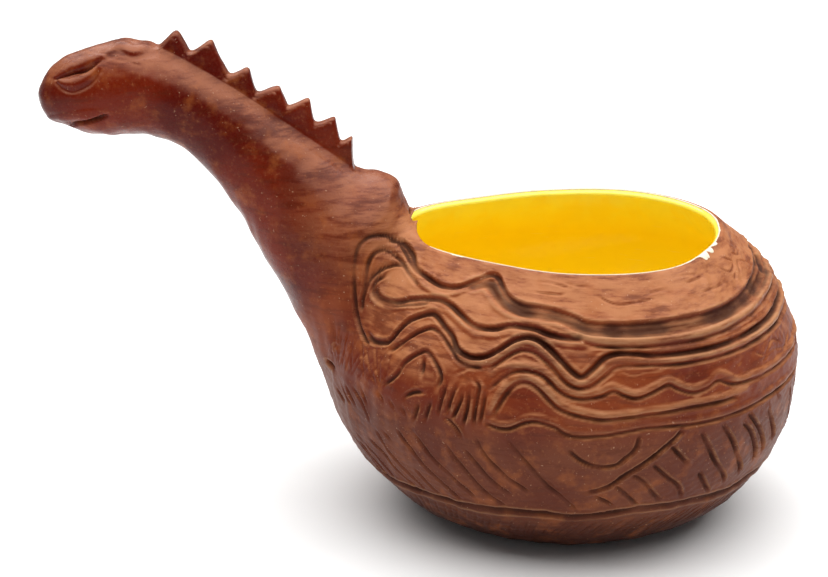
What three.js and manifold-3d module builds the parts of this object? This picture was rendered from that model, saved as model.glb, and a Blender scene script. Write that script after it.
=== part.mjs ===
// A carved stoneware drinking mug in the form of a long-necked sea creature: the round bowl is the
// body, and the neck and head rise from one shoulder as the handle. It is hand built from pieces
// of clay luted together: bowl, hollow neck, head, jaw, eyelids and a crest of cut spines. A white
// slip lines the lip, and a yellow glaze coats the inside.
//
// Millimetres. The origin is the centre of the flat foot, on the table. +Z is up, and +X points
// away from the head. The mug is symmetric about the plane y = 0, apart from its hand-made mouth.
import * as THREE from "three";
import { mergeVertices } from "three/addons/utils/BufferGeometryUtils.js";
import Module from "manifold-3d";

const wasm = await Module();
wasm.setup();

// ---- Driving dimensions ----
const GAP = 0.3; // clearance between luted pieces

const FOOT_RADIUS = 37;
const BELLY_RADIUS = 71.5;
const BELLY_HEIGHT = 47;
const BELLY_SHIFT = -2; // the belly and mouth sit a little towards the neck
const RIM_HEIGHT = 85;
const MOUTH_RADIUS = 47; // mean inner radius of the lip
const WALL = 5;
const FLOOR = 9;
const LIP_THICKNESS = 2.8;
const GLAZE = 0.8;
const SLIP = 0.5;
const GLAZE_END = 128; // degrees over the lip, from outwards, where the glaze stops
const SLIP_END = 72; // and the slip

// How far the lip stands inside or outside a circle, every 30 degrees from +X, anticlockwise.
const LIP_WANDER = [-0.5, 4, 5.5, 0, -3, 1, 0, -4, -5, 0, 2.5, -1.5];

// The creature's centreline from snout to root, with its half depth and half width. Places are
// measured from the middle of the bowl's shoulder, so that the neck follows the bowl.
const STATIONS = [
  { x: -90.6, z: 57.4, depth: 6.0, width: 5.0 },
  { x: -88.6, z: 58.6, depth: 9.0, width: 8.2 },
  { x: -85.0, z: 60.0, depth: 10.8, width: 10.4 },
  { x: -79.8, z: 61.4, depth: 11.6, width: 12.0 },
  { x: -72.4, z: 62.6, depth: 12.4, width: 12.8 },
  { x: -63.2, z: 61.8, depth: 12.9, width: 12.6 },
  { x: -53.4, z: 59.2, depth: 11.8, width: 11.6 },
  { x: -43.0, z: 52.8, depth: 11.3, width: 11.4 },
  { x: -33.0, z: 44.3, depth: 12.8, width: 12.6 },
  { x: -22.9, z: 34.3, depth: 15.8, width: 15.0 },
  { x: -13.8, z: 22.8, depth: 18.4, width: 18.2 },
  { x: -4.8, z: 10.2, depth: 20.2, width: 21.5 },
  { x: 2.2, z: -3.0, depth: 20.6, width: 24.0 },
  { x: 6.0, z: -16.0, depth: 18.5, width: 24.0 },
];
const NECK_START = 5.6; // in stations, where the head is luted to the neck
const NECK_WALL = 4.5;

// The crest, laid end to end along the back of the neck.
const CREST_START = 5.15; // in stations
const CREST_THICKNESS = 5.2;
const CREST_RISE = 2; // of the strip above the neck
const CREST_SPINES = [
  { base: 10.0, height: 3.8, lean: 0.3 },
  { base: 12.1, height: 7.6, lean: 0.36 },
  { base: 10.1, height: 6.0, lean: 0.5 },
  { base: 9.0, height: 5.0, lean: 0.6 },
  { base: 9.3, height: 6.3, lean: 0.56 },
  { base: 9.0, height: 5.6, lean: 0.46 },
  { base: 6.5, height: 5.2, lean: 0.42 },
]; // lean is the tip's place along the base, as a share
const SPINE_TIP = 1.6; // width and thickness of the blunt tip
const LUG_RISE = 8.5; // of the lug that ends the crest, above the strip
const LUG_WIDTH = 15;

const JAW_START = 2.2; // in stations, the chin
const JAW_END = 5;
const JAW_DROP = 2.6; // below the head
const LID_RADIUS = 1.5;
const EYE_START = { station: 2.2, round: 74 }; // front corner, degrees round from the top
const EYE_END = { station: 4.2, round: 34 }; // back corner
const EYE_OPEN = 15; // degrees from each lid to the eye's middle line
const EYE_CORNER = 6; // the same, where the lids nearly meet

const BOWL_SEGMENTS = 48;
const NECK_SIDES = 24;

// ---- Materials ----
const stainedClay = new THREE.MeshStandardMaterial({ color: 0x7a3f2a, roughness: 0.6, metalness: 0 });
const yellowGlaze = new THREE.MeshStandardMaterial({ color: 0xf5b800, roughness: 0.15, metalness: 0 });
const whiteSlip = new THREE.MeshStandardMaterial({ color: 0xf4ecd8, roughness: 0.5, metalness: 0 });

// ---- Solids ----
function solidOf(geometry) {
  const bare = geometry.clone();
  bare.deleteAttribute("normal");
  bare.deleteAttribute("uv");
  const merged = mergeVertices(bare, 1e-3);
  return new wasm.Manifold(
    new wasm.Mesh({
      numProp: 3,
      vertProperties: Float32Array.from(merged.attributes.position.array),
      triVerts: Uint32Array.from(merged.index.array),
    }),
  );
}

function geometryOf(solid) {
  const mesh = solid.getMesh();
  const places = [];
  for (let i = 0; i < mesh.numVert; i++)
    places.push(...mesh.vertProperties.subarray(i * mesh.numProp, i * mesh.numProp + 3));
  const geometry = new THREE.BufferGeometry();
  geometry.setAttribute("position", new THREE.Float32BufferAttribute(places, 3));
  geometry.setIndex(Array.from(mesh.triVerts));
  geometry.computeVertexNormals();
  return geometry;
}

// A closed solid through rings of equally many points, each ring clockwise seen along the rings.
function loft(rings) {
  const sides = rings[0].length;
  const last = (rings.length - 1) * sides;
  const index = [];
  for (let ring = 0; ring < last; ring += sides)
    for (let j = 0; j < sides; j++) {
      const next = (j + 1) % sides;
      index.push(ring + j, ring + next, ring + sides + next);
      index.push(ring + j, ring + sides + next, ring + sides + j);
    }
  for (let j = 1; j + 1 < sides; j++) {
    index.push(0, j + 1, j);
    index.push(last, last + j, last + j + 1);
  }
  const geometry = new THREE.BufferGeometry().setFromPoints(rings.flat());
  geometry.setIndex(index);
  return geometry;
}

function add(name, geometry, material) {
  const mesh = new THREE.Mesh(geometry, material);
  mesh.name = name;
  mug.add(mesh);
  return mesh;
}

const mug = new THREE.Group();

// ---- Bowl profile, as Vector2(radius, height) ----
const LIP_RADIUS = LIP_THICKNESS / 2;
const lipCentre = new THREE.Vector2(MOUTH_RADIUS + LIP_RADIUS, RIM_HEIGHT - LIP_RADIUS);

// A point of the rounded lip: 0 degrees faces outwards, 90 up, 180 inwards.
function onLip(degrees, lift = 0) {
  const a = THREE.MathUtils.degToRad(degrees);
  const reach = LIP_RADIUS + lift;
  return new THREE.Vector2(
    lipCentre.x + reach * Math.cos(a),
    lipCentre.y + reach * Math.sin(a),
  );
}

function lipArc(from, to, steps, lift) {
  const points = [];
  for (let i = 0; i <= steps; i++) points.push(onLip(from + ((to - from) * i) / steps, lift));
  return points;
}

const belly = new THREE.Vector2(BELLY_RADIUS, BELLY_HEIGHT);
const flank = new THREE.CubicBezierCurve(
  new THREE.Vector2(FOOT_RADIUS, 0),
  new THREE.Vector2(FOOT_RADIUS + 0.48 * (BELLY_RADIUS - FOOT_RADIUS), 0.075 * BELLY_HEIGHT),
  new THREE.Vector2(BELLY_RADIUS, 0.52 * BELLY_HEIGHT),
  belly,
);
const shoulderEnd = onLip(45);
const shoulder = new THREE.CubicBezierCurve(
  belly,
  new THREE.Vector2(BELLY_RADIUS, BELLY_HEIGHT + 0.58 * (RIM_HEIGHT - BELLY_HEIGHT)),
  new THREE.Vector2(
    shoulderEnd.x + 0.42 * (BELLY_RADIUS - shoulderEnd.x),
    shoulderEnd.y - 0.2 * (RIM_HEIGHT - BELLY_HEIGHT),
  ),
  shoulderEnd,
);
const outerWall = [...flank.getPoints(7), ...shoulder.getPoints(8).slice(1)];

// The polyline moved to its left by a distance, seen along its run, with its corners kept square.
function movedLeft(points, distance) {
  const normals = points.slice(1).map((p, i) => {
    const along = p.clone().sub(points[i]).normalize();
    return new THREE.Vector2(-along.y, along.x);
  });
  return points.map((p, i) => {
    const before = normals[Math.max(i - 1, 0)];
    const after = normals[Math.min(i, normals.length - 1)];
    const corner = before.clone().add(after);
    return p.clone().addScaledVector(corner, distance / (1 + before.dot(after)));
  });
}

// The inside of the clay, from the floor's centre up to the inner edge of the lip.
const innerSide = movedLeft(outerWall, WALL).filter(
  (p) => p.y > FLOOR + WALL && p.y < RIM_HEIGHT - 2.2 * WALL,
);
const clayInside = [
  new THREE.Vector2(0, FLOOR),
  new THREE.Vector2(0.55 * innerSide[0].x, FLOOR),
  new THREE.Vector2(0.86 * innerSide[0].x, FLOOR + 0.25 * WALL),
  ...innerSide,
  ...lipArc(225, GLAZE_END, 5),
];

// ---- The hand-made mouth ----
const wanderCurve = new THREE.CatmullRomCurve3(
  LIP_WANDER.map((out, i) => new THREE.Vector3(i, out, 0)),
  true,
  "catmullrom",
);

// Moves a point of revolution to where the potter's hands left it.
function handBuilt(p) {
  const turn = THREE.MathUtils.euclideanModulo(Math.atan2(p.y, p.x) / (2 * Math.PI), 1);
  const low = THREE.MathUtils.smoothstep(p.z, 0, BELLY_HEIGHT);
  const high = THREE.MathUtils.smoothstep(p.z, BELLY_HEIGHT, RIM_HEIGHT);
  const grow = 1 + (high * wanderCurve.getPoint(turn).y) / MOUTH_RADIUS;
  return new THREE.Vector3(p.x * grow + low * BELLY_SHIFT, p.y * grow, p.z);
}

// A closed profile turned about the axis, then shaped by hand.
function thrown(profile) {
  const geometry = new THREE.LatheGeometry(profile, BOWL_SEGMENTS);
  geometry.rotateX(Math.PI / 2);
  const places = geometry.getAttribute("position");
  for (let i = 0; i < places.count; i++) {
    const moved = handBuilt(new THREE.Vector3().fromBufferAttribute(places, i));
    places.setXYZ(i, moved.x, moved.y, moved.z);
  }
  return geometry;
}

function bowl() {
  const outside = [new THREE.Vector2(0, 0), ...outerWall, ...lipArc(68, 105, 2)];
  return thrown([...outside, ...clayInside.slice().reverse()]);
}

// The bowl filled to its rim, grown by a distance, to cut what is luted to its outside.
function bowlCutter(grow) {
  const side = movedLeft(outerWall, -grow);
  const overSlip = GAP + SLIP + grow;
  return solidOf(
    thrown([
      new THREE.Vector2(0, -grow),
      ...side,
      ...lipArc(75, 90, 1, overSlip),
      new THREE.Vector2(0, RIM_HEIGHT + overSlip),
    ]),
  );
}

function glazeLining() {
  const face = movedLeft(clayInside, GAP);
  face[0].x = 0;
  const back = movedLeft(clayInside, GAP + GLAZE);
  back[0].x = 0;
  return thrown([...face, ...back.reverse()]);
}

function lipSlip() {
  const over = lipArc(SLIP_END, GLAZE_END - 14, 4, GAP + SLIP);
  const under = lipArc(GLAZE_END - 14, SLIP_END, 4, GAP);
  return thrown([...over, ...under, over[0].clone()]);
}

// ---- The creature's sections ----
const shoulderMiddle = new THREE.Vector3(
  BELLY_SHIFT - (BELLY_RADIUS + MOUTH_RADIUS + LIP_THICKNESS) / 2,
  0,
  (BELLY_HEIGHT + RIM_HEIGHT) / 2,
);
const centreline = new THREE.CatmullRomCurve3(
  STATIONS.map((s) => new THREE.Vector3(s.x, 0, s.z).add(shoulderMiddle)),
  false,
  "catmullrom",
);
const girth = new THREE.CatmullRomCurve3(
  STATIONS.map((s) => new THREE.Vector3(s.depth, s.width, 0)),
  false,
  "catmullrom",
);
const side = new THREE.Vector3(0, -1, 0);

// Where a section is, which way its top faces, and its half sizes.
function sectionAt(station) {
  const t = THREE.MathUtils.clamp(station / (STATIONS.length - 1), 0, 1);
  const along = centreline.getTangent(t);
  const size = girth.getPoint(t);
  return {
    centre: centreline.getPoint(t),
    along,
    up: new THREE.Vector3(-along.z, 0, along.x),
    depth: size.x,
    width: size.y,
  };
}

// A point of the skin, by degrees round from the top towards -Y.
function onSkin(station, round, lift = 0) {
  const s = sectionAt(station);
  const a = THREE.MathUtils.degToRad(round);
  return s.centre
    .clone()
    .addScaledVector(s.up, (s.depth + lift) * Math.cos(a))
    .addScaledVector(side, (s.width + lift) * Math.sin(a));
}

function skinRing(station, lift) {
  const ring = [];
  for (let i = 0; i < NECK_SIDES; i++) ring.push(onSkin(station, (360 * i) / NECK_SIDES, lift));
  return ring;
}

function body(from, to, steps, lift = 0) {
  const rings = [];
  for (let i = 0; i <= steps; i++) rings.push(skinRing(from + ((to - from) * i) / steps, lift));
  return solidOf(loft(rings));
}

const LAST = STATIONS.length - 1;
const headEnd = NECK_START - GAP / 9; // a station is about 9 mm here
const skinCutter = body(0, LAST, 24, GAP);
const bowlOutside = bowlCutter(GAP);

// The open mouth and the air above it.
const mouthColumn = solidOf(
  thrown([
    new THREE.Vector2(0, BELLY_HEIGHT),
    new THREE.Vector2(MOUTH_RADIUS, BELLY_HEIGHT),
    new THREE.Vector2(MOUTH_RADIUS, RIM_HEIGHT),
    new THREE.Vector2(MOUTH_RADIUS, 2 * RIM_HEIGHT),
    new THREE.Vector2(0, 2 * RIM_HEIGHT),
  ]),
);

function neck() {
  const shell = body(NECK_START, LAST, 14).subtract(body(NECK_START - 0.1, LAST, 14, -NECK_WALL));
  return geometryOf(shell.subtract(bowlOutside).subtract(mouthColumn));
}

function head() {
  return geometryOf(body(0, headEnd, 12));
}

// The jaw hangs under the head from the chin to the throat.
function jaw() {
  const rings = [];
  const steps = 8;
  for (let i = 0; i <= steps; i++) {
    const share = i / steps;
    const s = sectionAt(JAW_START + (JAW_END - JAW_START) * share);
    const full = Math.sqrt(Math.max(1 - (1 - share) ** 4, 0.12)) * (1 - 0.55 * share ** 3);
    const ring = [];
    for (let j = 0; j < 16; j++) {
      const a = (2 * Math.PI * j) / 16;
      ring.push(
        s.centre
          .clone()
          .addScaledVector(s.up, -(s.depth - 4) + (4 + JAW_DROP) * full * Math.cos(a))
          .addScaledVector(side, 0.72 * s.width * full * Math.sin(a)),
      );
    }
    rings.push(ring);
  }
  return geometryOf(solidOf(loft(rings)).subtract(skinCutter));
}

// A coil of clay along an eyelid, pressed on to the head. way is 1 for the upper lid, -1 lower.
function eyelid(way) {
  const line = [];
  const steps = 8;
  for (let i = 0; i <= steps; i++) {
    const share = i / steps;
    const station = EYE_START.station + (EYE_END.station - EYE_START.station) * share;
    const round = EYE_START.round + (EYE_END.round - EYE_START.round) * share;
    const open = EYE_CORNER + (EYE_OPEN - EYE_CORNER) * Math.sin(Math.PI * share);
    line.push(onSkin(station, round - way * open, LID_RADIUS / 2));
  }
  const path = new THREE.CatmullRomCurve3(line);
  const rings = [];
  for (let i = 0; i <= steps; i++) {
    const share = i / steps;
    const along = path.getTangentAt(share);
    const out = new THREE.Vector3().crossVectors(along, side).normalize();
    const across = new THREE.Vector3().crossVectors(along, out).normalize();
    const radius = LID_RADIUS * (0.45 + 0.55 * Math.sin(Math.PI * share));
    const ring = [];
    for (let j = 0; j < 8; j++) {
      const a = (2 * Math.PI * j) / 8;
      ring.push(
        path
          .getPointAt(share)
          .clone()
          .addScaledVector(out, radius * Math.cos(a))
          .addScaledVector(across, radius * Math.sin(a)),
      );
    }
    rings.push(ring);
  }
  return geometryOf(solidOf(loft(rings)).subtract(skinCutter));
}

// ---- The crest ----
// Places along the back of the neck, by length from the start of the crest.
const backLine = new THREE.CatmullRomCurve3(
  Array.from({ length: 25 }, (_, i) =>
    onSkin(CREST_START + ((LAST - 1 - CREST_START) * i) / 24, 0),
  ),
);
const crestLength = CREST_SPINES.reduce((sum, s) => sum + s.base, 0);

function onBack(length) {
  const u = THREE.MathUtils.clamp(length / backLine.getLength(), 0, 1);
  const along = backLine.getTangentAt(u);
  return { place: backLine.getPointAt(u), along, out: new THREE.Vector3(-along.z, 0, along.x) };
}

// A bar along the back, from below the skin up to a height given at each length.
function backBar(from, to, steps, heightAt, halfWidthAt) {
  const rings = [];
  for (let i = 0; i <= steps; i++) {
    const length = from + ((to - from) * i) / steps;
    const at = onBack(length);
    const top = heightAt(length);
    const half = halfWidthAt(length);
    const corner = (out, across) =>
      at.place.clone().addScaledVector(at.out, out).addScaledVector(side, across);
    rings.push([
      corner(top, -0.6 * half),
      corner(top, 0.6 * half),
      corner(-3, 1.2 * half),
      corner(-3, -1.2 * half),
    ]);
  }
  return loft(rings);
}

function crestStrip(grow = 0) {
  return backBar(
    -grow,
    crestLength + grow,
    12,
    () => CREST_RISE + grow,
    () => CREST_THICKNESS / 2 + grow,
  );
}

const stripCutter = solidOf(crestStrip(GAP));

// One spine: a wedge from the strip to a blunt tip.
function spine(start, { base, height, lean }) {
  const middle = onBack(start + base / 2);
  const corner = (along, out, across) =>
    middle.place
      .clone()
      .addScaledVector(middle.along, along)
      .addScaledVector(middle.out, out)
      .addScaledVector(side, across);
  const rectangle = (at, half, out, thick) => [
    corner(at - half, out, -thick),
    corner(at - half, out, thick),
    corner(at + half, out, thick),
    corner(at + half, out, -thick),
  ];
  const foot = rectangle(0, (base - GAP) / 2, 0.4 * CREST_RISE, CREST_THICKNESS / 2);
  const tip = rectangle((lean - 0.5) * base, SPINE_TIP / 2, CREST_RISE + height, SPINE_TIP / 2);
  return geometryOf(solidOf(loft([foot, tip])).subtract(stripCutter).subtract(skinCutter));
}

// The crest ends in a broad lug that rises to the edge of the mouth.
function napeLug() {
  const from = crestLength + GAP;
  const to = backLine.getLength() - 1;
  const rise = (length) => CREST_RISE + LUG_RISE * ((length - from) / (to - from)) ** 0.6;
  const solid = solidOf(backBar(from, to, 7, rise, () => LUG_WIDTH / 2));
  return geometryOf(solid.subtract(skinCutter).subtract(bowlOutside).subtract(mouthColumn));
}

// ---- Assembly ----
add("bowl", bowl(), stainedClay);
add("glaze_lining", glazeLining(), yellowGlaze);
add("lip_slip", lipSlip(), whiteSlip);
add("neck", neck(), stainedClay);
add("head", head(), stainedClay);
add("lower_jaw", jaw(), stainedClay);

for (const [name, way] of [["upper", 1], ["lower", -1]]) {
  add(`eyelid_${name}_left`, eyelid(way), stainedClay);
  add(`eyelid_${name}_right`, eyelid(way), stainedClay).scale.set(1, -1, 1);
}

add("crest_strip", geometryOf(solidOf(crestStrip()).subtract(skinCutter)), stainedClay);
let spineStart = 0;
CREST_SPINES.forEach((shape, i) => {
  add(`crest_spine_${i + 1}`, spine(spineStart, shape), stainedClay);
  spineStart += shape.base;
});
add("nape_lug", napeLug(), stainedClay);

export default mug;
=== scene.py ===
"""A carved stoneware mug in the form of a long-necked sea creature, built around its CAD frame.

The clay is sculpted in millimetres: a turned bowl and a lofted creature are smoothed into one
skin where the neck is luted on, and then the pattern is cut into it. Pieces end in metres.
"""
import math

import bmesh
import bpy
import numpy as np
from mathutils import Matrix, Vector
from mathutils.bvhtree import BVHTree


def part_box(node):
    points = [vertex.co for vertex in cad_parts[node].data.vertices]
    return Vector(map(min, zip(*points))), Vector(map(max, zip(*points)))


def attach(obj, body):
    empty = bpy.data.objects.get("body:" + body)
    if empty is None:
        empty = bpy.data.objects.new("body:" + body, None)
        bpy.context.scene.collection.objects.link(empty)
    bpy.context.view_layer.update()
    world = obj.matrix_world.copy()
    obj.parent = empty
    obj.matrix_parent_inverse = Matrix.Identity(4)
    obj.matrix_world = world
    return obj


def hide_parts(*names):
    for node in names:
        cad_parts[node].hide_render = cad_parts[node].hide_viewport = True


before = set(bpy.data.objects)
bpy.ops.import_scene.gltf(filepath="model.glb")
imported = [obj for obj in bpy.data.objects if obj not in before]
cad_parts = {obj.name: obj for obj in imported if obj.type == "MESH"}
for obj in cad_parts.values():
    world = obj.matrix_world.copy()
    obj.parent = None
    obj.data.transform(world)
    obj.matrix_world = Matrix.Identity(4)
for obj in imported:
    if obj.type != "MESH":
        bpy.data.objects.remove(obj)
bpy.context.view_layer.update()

MM = 0.001

# ---- Sizes, in millimetres ----
FOOT_RADIUS = 37.0
BELLY_RADIUS = 71.5
BELLY_HEIGHT = 47.0
BELLY_SHIFT = -2.0  # the belly and mouth sit a little towards the neck
RIM_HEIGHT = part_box("bowl")[1][2] / MM
MOUTH_RADIUS = 47.0
LIP_RADIUS = 1.4
WALL = 5.0
FLOOR = 9.0
GLAZE = 0.8
GLAZE_EDGE = 0.12
GLAZE_FEATHER = 9.0  # how far down from its edge it reaches its full thickness
GLAZE_TURNS = 320
GLAZE_END = 128.0  # degrees over the lip, from outwards

# How far the lip stands in or out of a circle, every 30 degrees from +X, anticlockwise.
LIP_WANDER = np.array([-0.5, 4, 5.5, 0, -3, 1, 0, -4, -5, 0, 2.5, -1.5])

LUTE_LOW, LUTE_HIGH = 4.0, 13.0  # reach of the smoothed joint, under the neck and over it
LUTE_BETWEEN = 58.0, 82.0  # heights between which the reach grows
LUTE_STEPS = 5
LUTE_X, LUTE_Y = -20.0, 60.0  # the joint lies below this x, and within this y either way
LUTE_DEEPEST = 12.0  # clay deeper than this in the creature isn't drawn to the joint
LUTE_FADE = 1.5, 4.0  # depths in the other piece over which the joint lets go
LONGEST_PULL = 3.0
BURIED = 3.0  # clay this deep in the other piece is left out
CLOSE_TO_BOWL, CLOSE_TO_SKIN = 0.4, 0.3  # closer than this, a wall's own facing is used
CLAY_STEP = 0.43  # between rows of the bowl's skin
BOWL_TURNS = 864  # columns round it
CLOSER_IN_FRONT = 0.19  # how much closer the columns are in front than at the side

# The creature's outline at each station: top x, z, underside x, z, half width.
STATIONS = np.array([
    (-156.0, 126.4, -156.0, 126.0, 0.3),
    (-155.1, 129.0, -155.4, 123.4, 3.6),
    (-153.6, 131.8, -154.1, 120.4, 6.4),
    (-151.5, 134.4, -152.1, 118.3, 8.4),
    (-148.2, 136.7, -149.0, 117.3, 10.1),
    (-144.8, 138.4, -145.2, 115.9, 11.2),
    (-141.0, 139.8, -141.2, 114.4, 12.0),
    (-136.5, 141.3, -136.4, 113.9, 12.6),
    (-131.0, 142.0, -131.2, 113.9, 12.8),
    (-124.0, 141.2, -125.6, 114.0, 12.6),
    (-117.0, 138.6, -121.4, 113.3, 12.1),
    (-109.6, 134.6, -117.2, 111.8, 11.6),
    (-99.6, 128.4, -112.0, 108.8, 11.4),
    (-87.0, 119.9, -104.4, 100.8, 12.6),
    (-73.8, 110.8, -97.3, 89.8, 15.0),
    (-62.6, 103.2, -91.4, 77.8, 18.2),
    (-55.6, 101.6, -88.2, 71.7, 19.8),
    (-50.9, 99.2, -84.8, 65.8, 21.5),
    (-49.0, 93.8, -82.0, 60.3, 22.8),
    (-47.4, 87.0, -79.4, 55.2, 24.0),
    (-48.0, 79.0, -75.2, 46.0, 24.0),
    (-50.0, 71.5, -69.5, 40.0, 20.0),
    (-47.5, 66.0, -61.0, 40.0, 14.5),
    (-44.5, 60.0, -53.0, 44.0, 9.0),
    (-43.0, 55.5, -46.5, 49.0, 3.0),
])  # the last few round off its root inside the bowl's wall
JAW_TOP, JAW_FRONT = 118.6, -146.5
LUG_HALF, LUG_BOTTOM = 9.0, 88.0
# Where pieces end, in stations.
THROAT = 9.0
HEAD_END = CREST_START = 9.6
LUG_START, LUG_END = 14.9, 18.2
NECK_END = 18.6

# The crest seen from the side: the valleys between its spines, and their tips, as (x, z).
CREST_VALLEYS = [
    (-119.6, 141.6), (-111.0, 138.2), (-99.9, 131.8), (-92.0, 126.4), (-82.9, 122.0), (-74.8, 117.4),
    (-67.3, 111.6), (-62.4, 106.0),
]
CREST_TIPS = [
    (-115.1, 144.3), (-104.9, 141.7), (-94.7, 133.3), (-85.9, 128.0), (-77.1, 124.6), (-69.3, 119.0),
    (-64.1, 113.2),
]
CREST_HALF = 3.7  # half thickness at its foot
CREST_TAPER = 0.14  # lost from it for each millimetre of height
CREST_ROUND = 1.3  # radius of its edges
CREST_FILLET = 3.0
CREST_HOLLOW = 1.12  # over 1, the spines' flanks are hollow
CREST_LOST = 0.5  # height that blunting takes from a tip
CREST_ENDS = 0.2  # height where it starts and stops
CREST_FINE = 0.1  # spacing that its outline is worked out at
CREST_BLUNT = 27  # spacings that its tips and valleys are blunted over


# ---- Small helpers ----
def ease(x, low, high):
    """0 below low, 1 above high, and smooth between."""
    u = np.clip((x - low) / (high - low), 0, 1)
    return u * u * (3 - 2 * u)


def curve_run(a, b, c, d, t):
    """A smooth curve's run from b to c, on its way from a to d, at shares t of the run."""
    return 0.5 * (2 * b + (c - a) * t + (2 * a - 5 * b + 4 * c - d) * t**2
                  + (3 * b - a - 3 * c + d) * t**3)


def curve_through(points, steps):
    """A smooth curve through the points, with so many steps between each two."""
    p = np.asarray(points, float)
    if len(p) < 3:
        t = np.linspace(0, 1, steps + 1)[:, None]
        return p[0] * (1 - t) + p[-1] * t
    ends = np.vstack([2 * p[0] - p[1], p, 2 * p[-1] - p[-2]])
    t = (np.arange(steps) / steps)[:, None]
    runs = [curve_run(*ends[i:i + 4], t) for i in range(len(p) - 1)]
    return np.vstack([*runs, p[-1:]])


def lengths_along(points):
    return np.concatenate([[0], np.cumsum(np.linalg.norm(np.diff(points, axis=0), axis=1))])


def evenly(points, spacing):
    """The polyline again, with its points a spacing apart."""
    run = lengths_along(points)
    return at_length(points, run, np.linspace(0, run[-1], max(2, int(round(run[-1] / spacing)) + 1)))


def bumps(points, size, seed):
    """Smooth hand-made unevenness from -1 to 1, with bumps of about a size in millimetres."""
    waves = np.random.default_rng(seed)
    total = np.zeros(len(points))
    for _ in range(9):
        way = waves.normal(size=3)
        way *= 2 * math.pi / size / np.linalg.norm(way) * waves.uniform(0.6, 1.3)
        bend = waves.normal(size=3) * 0.9 / size
        total += np.sin(points @ way + 1.7 * np.sin(points @ bend + waves.uniform(0, 6)))
    return total / 4.2


def unit(vectors):
    return vectors / np.linalg.norm(vectors, axis=1)[:, None]


def out_of(line):
    """The way a (radius, height) line faces at each of its points, to its right."""
    way = unit(np.gradient(line, axis=0))
    return np.column_stack([way[:, 1], -way[:, 0]])


def at_length(line, run, at):
    """The line's points at lengths along it."""
    return np.column_stack([np.interp(at, run, line[:, i]) for i in range(line.shape[1])])


def nearest_on(line, places):
    """How far each place is from a line, how far along it, and how long the line is."""
    run = lengths_along(line)
    far = np.full(len(places), 1e9)
    at = np.zeros(len(places))
    for a, b, start in zip(line, line[1:], run):
        way = b - a
        size = np.linalg.norm(way)
        if size < 1e-6:
            continue
        share = np.clip((places - a) @ way / size**2, 0, 1)
        gap = np.linalg.norm(places - a - share[:, None] * way, axis=1)
        nearer = gap < far
        far = np.where(nearer, gap, far)
        at = np.where(nearer, start + share * size, at)
    return far, at, run[-1]


def mesh_places(mesh):
    places = np.empty(len(mesh.vertices) * 3, np.float32)
    mesh.vertices.foreach_get("co", places)
    return places.reshape(-1, 3).astype(float)


def set_places(mesh, places):
    mesh.vertices.foreach_set("co", places.astype(np.float32).ravel())
    mesh.update()


def mesh_normals(mesh):
    normals = np.empty(len(mesh.vertices) * 3, np.float32)
    mesh.vertex_normals.foreach_get("vector", normals)
    return normals.reshape(-1, 3).astype(float)


def store(mesh, name, values):
    layer = mesh.attributes.new(name, "FLOAT", "POINT")
    layer.data.foreach_set("value", values.astype(np.float32))


def raise_to(mesh, name, values):
    """Brings a stored attribute up to the values where it is below them."""
    layer = mesh.attributes[name]
    kept = np.empty(len(values), np.float32)
    layer.data.foreach_get("value", kept)
    layer.data.foreach_set("value", np.maximum(kept, values).astype(np.float32))


def polar(places):
    """Angle from +X, and radius."""
    return np.arctan2(places[:, 1], places[:, 0]), np.hypot(places[:, 0], places[:, 1])


def turned(name, profile, turns):
    """The (radius, height) profile swept once round the Z axis: a grid is rolled up, and its
    seam and its poles are welded."""
    profile = np.asarray(profile, float)
    rows = len(profile) - 1
    bm = bmesh.new()
    bmesh.ops.create_grid(bm, x_segments=rows, y_segments=turns, size=1)
    mesh = bpy.data.meshes.new(name)
    bm.to_mesh(mesh)
    place = np.rint((mesh_places(mesh)[:, :2] + 1) / 2 * (rows, turns)).astype(int)
    angle = 2 * math.pi * (place[:, 1] % turns) / turns
    radius, height = profile[place[:, 0]].T
    set_places(mesh, np.column_stack([radius * np.cos(angle), radius * np.sin(angle), height]))
    bm.clear()
    bm.from_mesh(mesh)
    bm.verts.ensure_lookup_table()
    welded = (place[:, 1] % turns == 0) | (radius < 1e-6)
    bmesh.ops.remove_doubles(bm, verts=[bm.verts[i] for i in np.flatnonzero(welded)], dist=1e-4)
    bmesh.ops.recalc_face_normals(bm, faces=bm.faces)
    bm.to_mesh(mesh)
    bm.free()
    return mesh


# ---- The bowl's shape ----
def bezier(a, b, c, d, steps):
    t = np.linspace(0, 1, steps)[:, None]
    a, b, c, d = (np.array(p, float) for p in (a, b, c, d))
    return (1 - t)**3 * a + 3 * (1 - t)**2 * t * b + 3 * (1 - t) * t**2 * c + t**3 * d


def on_lip(degrees):
    """Points of the rounded lip: 0 degrees faces outwards, 90 up, 180 inwards."""
    a = np.radians(degrees)
    return np.column_stack([MOUTH_RADIUS + LIP_RADIUS + LIP_RADIUS * np.cos(a),
                            RIM_HEIGHT - LIP_RADIUS + LIP_RADIUS * np.sin(a)])


def outer_profile():
    end = on_lip(np.array([45.0]))[0]
    grown = BELLY_RADIUS - FOOT_RADIUS
    tall = RIM_HEIGHT - BELLY_HEIGHT
    flank = bezier((FOOT_RADIUS, 0), (FOOT_RADIUS + 0.48 * grown, 0.075 * BELLY_HEIGHT),
                   (BELLY_RADIUS, 0.52 * BELLY_HEIGHT), (BELLY_RADIUS, BELLY_HEIGHT), 90)
    shoulder = bezier((BELLY_RADIUS, BELLY_HEIGHT), (BELLY_RADIUS, BELLY_HEIGHT + 0.58 * tall),
                      (end[0] + 0.42 * (BELLY_RADIUS - end[0]), end[1] - 0.2 * tall), end, 90)
    return np.vstack([flank, shoulder[1:]])


OUTER = outer_profile()


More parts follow.
